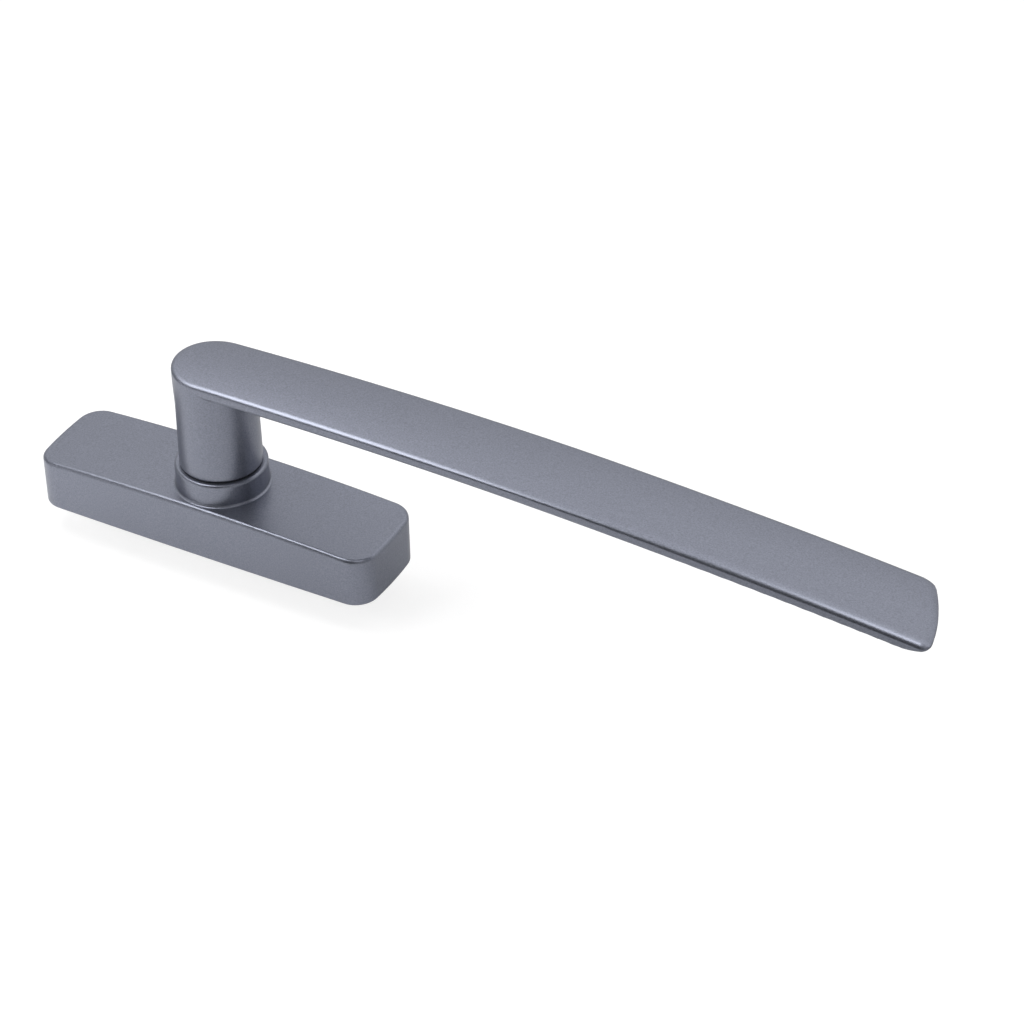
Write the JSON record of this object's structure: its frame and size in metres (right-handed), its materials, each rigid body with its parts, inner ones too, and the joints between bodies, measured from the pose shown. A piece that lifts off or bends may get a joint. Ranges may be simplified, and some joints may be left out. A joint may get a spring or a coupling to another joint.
{
  "type": "cremone window handle",
  "caption": "Cremone window handle: flat crowned lever on a round neck and slim base; a pinion and two racks slide the drive pins behind.",
  "frame": {"origin": "on the mounting face, where the lever's turning axis crosses the back plate's outer face", "axes": "+Z along the turning axis, away from the window; +X along the base and the resting lever, towards its tip"},
  "size_m": [0.2502, 0.0278, 0.0611],
  "materials": {
    "lacquered_casting": "satin blue-grey metallic lacquer",
    "zinc_plate": "as cast, satin",
    "black_nylon": "moulded",
    "pale_nylon": "moulded",
    "plated_steel": "zinc plated",
    "rack_steel": "blanked steel, zinc plated",
    "bright_steel": "polished",
    "spring_steel": "oiled"
  },
  "bodies": {
    "base": {"base_cover": "lacquered_casting", "back_plate": "zinc_plate", "collar_bush": "black_nylon", "thrust_washer": "pale_nylon", "detent_cage": "pale_nylon", "detent_ball_right": "bright_steel", "detent_ball_left": "bright_steel", "detent_spring_right": "spring_steel", "detent_spring_left": "spring_steel", "plate_screw_1": "plated_steel", "plate_screw_2": "plated_steel", "plate_screw_3": "plated_steel", "plate_screw_4": "plated_steel"},
    "lever": {"lever": "lacquered_casting", "spindle": "plated_steel", "spring_washer": "spring_steel", "index_disc": "plated_steel", "pinion": "plated_steel", "pinion_washer": "plated_steel", "pinion_screw": "plated_steel"},
    "right_rack": {"rack_right": "rack_steel", "drive_pin_right": "plated_steel"},
    "left_rack": {"rack_left": "rack_steel", "drive_pin_left": "plated_steel"}
  },
  "joints": [
    {"name": "lever_turn", "type": "hinge", "parent": "base", "child": "lever", "pos_m": [0, 0, 0], "axis": [0, 0, 1], "range_deg": [-90, 90]},
    {"name": "right_rack_slide", "type": "slide", "parent": "base", "child": "right_rack", "axis": [1, 0, 0], "range_m": [-0.00952, 0.00952]},
    {"name": "left_rack_slide", "type": "slide", "parent": "base", "child": "left_rack", "axis": [1, 0, 0], "range_m": [-0.00952, 0.00952]}
  ],
  "couplings": [
    {"joint": "right_rack_slide", "follows": "lever_turn", "m_per_rad": -0.006},
    {"joint": "left_rack_slide", "follows": "lever_turn", "m_per_rad": 0.006}
  ]
}
